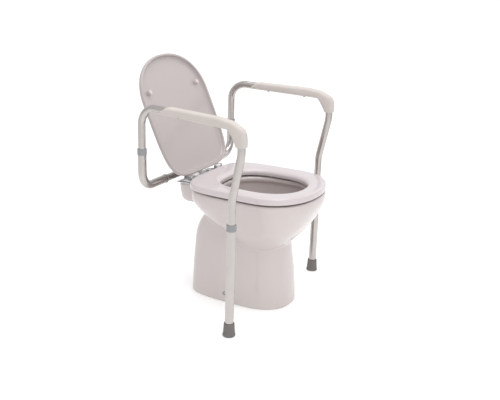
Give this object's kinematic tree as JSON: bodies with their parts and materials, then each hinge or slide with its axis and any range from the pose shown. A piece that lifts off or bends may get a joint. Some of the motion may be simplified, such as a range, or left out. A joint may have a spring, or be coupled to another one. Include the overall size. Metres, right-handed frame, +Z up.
{
  "type": "toilet with safety frame",
  "caption": "Floor-standing ceramic toilet with hinged seat and lid, fitted with a height- and width-adjustable aluminium support frame with moulded armrest covers.",
  "frame": {"origin": "on the floor under the middle of the footprint", "axes": "+Z up, -Y the way the seated user faces, +X the seated user's left"},
  "size_m": [0.6776, 0.6277, 0.818],
  "materials": {
    "china": "glossy white glaze",
    "seat": "glossy moulded white",
    "lid": "semi-gloss moulded white",
    "armrest": "matte warm off-white, fine texture",
    "tube": "satin anodised, drawn along the tube",
    "zinc": "bright zinc plate",
    "steel": "polished stainless",
    "collar": "satin mid-grey",
    "foot_rubber": "matt dark grey",
    "nylon": "natural nylon",
    "buffer": "soft white elastomer"
  },
  "bodies": {
    "pan": {"pan": "china", "mounting_bracket": "zinc", "right_floor_bracket": "nylon", "right_floor_screw": "steel", "right_hinge_post": "zinc", "right_hinge_pin": "steel", "right_hinge_bolt": "steel", "right_washer": "zinc", "right_wing_nut": "nylon", "right_width_leaf": "steel", "left_floor_bracket": "nylon", "left_floor_screw": "steel", "left_hinge_post": "zinc", "left_hinge_pin": "steel", "left_hinge_bolt": "steel", "left_washer": "zinc", "left_wing_nut": "nylon", "left_width_leaf": "steel"},
    "seat": {"seat_ring": "seat", "right_seat_arm": "seat", "left_seat_arm": "seat", "seat_buffer_1": "buffer", "seat_buffer_2": "buffer", "seat_buffer_3": "buffer", "seat_buffer_4": "buffer"},
    "lid": {"lid": "lid", "right_lid_arm": "lid", "left_lid_arm": "lid", "right_lid_buffer": "buffer", "left_lid_buffer": "buffer"},
    "right_elbow": {"right_elbow_tube": "tube", "right_rear_collar": "collar", "right_end_ring": "collar"},
    "right_rail": {"right_rail_tube": "tube", "right_armrest": "armrest", "right_armrest_screw_1": "steel", "right_armrest_screw_2": "steel", "right_rear_leaf": "steel", "right_front_leaf": "steel"},
    "right_leg": {"right_leg_tube": "tube", "right_front_collar": "collar", "right_foot": "foot_rubber"},
    "right_rear_button": {"right_rear_button": "steel"},
    "right_front_button": {"right_front_button": "steel"},
    "right_width_button": {"right_width_button": "steel"},
    "left_elbow": {"left_elbow_tube": "tube", "left_rear_collar": "collar", "left_end_ring": "collar"},
    "left_rail": {"left_rail_tube": "tube", "left_armrest": "armrest", "left_armrest_screw_1": "steel", "left_armrest_screw_2": "steel", "left_rear_leaf": "steel", "left_front_leaf": "steel"},
    "left_leg": {"left_leg_tube": "tube", "left_front_collar": "collar", "left_foot": "foot_rubber"},
    "left_rear_button": {"left_rear_button": "steel"},
    "left_front_button": {"left_front_button": "steel"},
    "left_width_button": {"left_width_button": "steel"}
  },
  "joints": [
    {"name": "seat_hinge", "type": "hinge", "parent": "pan", "child": "seat", "pos_m": [0, 0.1155, 0.426], "axis": [-1, 0, 0], "range_deg": [0, 95]},
    {"name": "lid_hinge", "type": "hinge", "parent": "pan", "child": "lid", "pos_m": [0, 0.1155, 0.426], "axis": [-1, 0, 0], "range_deg": [-114.5, 0]},
    {"name": "right_width_slide", "type": "slide", "parent": "pan", "child": "right_elbow", "axis": [-1, 0, 0], "range_m": [0, 0.04]},
    {"name": "right_height_slide", "type": "slide", "parent": "right_elbow", "child": "right_rail", "axis": [0, 0, 1], "range_m": [0, 0.04]},
    {"name": "right_leg_slide", "type": "slide", "parent": "right_rail", "child": "right_leg", "axis": [0, 0, -1], "range_m": [0, 0.04]},
    {"name": "right_rear_press", "type": "slide", "parent": "right_elbow", "child": "right_rear_button", "axis": [0.0924, 0.9957, 0], "range_m": [0, 0.003], "stiffness_N_per_m": 400},
    {"name": "right_front_press", "type": "slide", "parent": "right_leg", "child": "right_front_button", "axis": [-0.0924, -0.9957, 0], "range_m": [0, 0.003], "stiffness_N_per_m": 400},
    {"name": "right_width_press", "type": "slide", "parent": "right_elbow", "child": "right_width_button", "axis": [0, -1, 0], "range_m": [0, 0.003], "stiffness_N_per_m": 400},
    {"name": "left_width_slide", "type": "slide", "parent": "pan", "child": "left_elbow", "axis": [1, 0, 0], "range_m": [0, 0.04]},
    {"name": "left_height_slide", "type": "slide", "parent": "left_elbow", "child": "left_rail", "axis": [0, 0, 1], "range_m": [0, 0.04]},
    {"name": "left_leg_slide", "type": "slide", "parent": "left_rail", "child": "left_leg", "axis": [0, 0, -1], "range_m": [0, 0.04]},
    {"name": "left_rear_press", "type": "slide", "parent": "left_elbow", "child": "left_rear_button", "axis": [-0.0924, 0.9957, 0], "range_m": [0, 0.003], "stiffness_N_per_m": 400},
    {"name": "left_front_press", "type": "slide", "parent": "left_leg", "child": "left_front_button", "axis": [0.0924, -0.9957, 0], "range_m": [0, 0.003], "stiffness_N_per_m": 400},
    {"name": "left_width_press", "type": "slide", "parent": "left_elbow", "child": "left_width_button", "axis": [0, -1, 0], "range_m": [0, 0.003], "stiffness_N_per_m": 400}
  ],
  "couplings": [
    {"joint": "right_leg_slide", "follows": "right_height_slide", "ratio": 1},
    {"joint": "left_leg_slide", "follows": "left_height_slide", "ratio": 1}
  ]
}
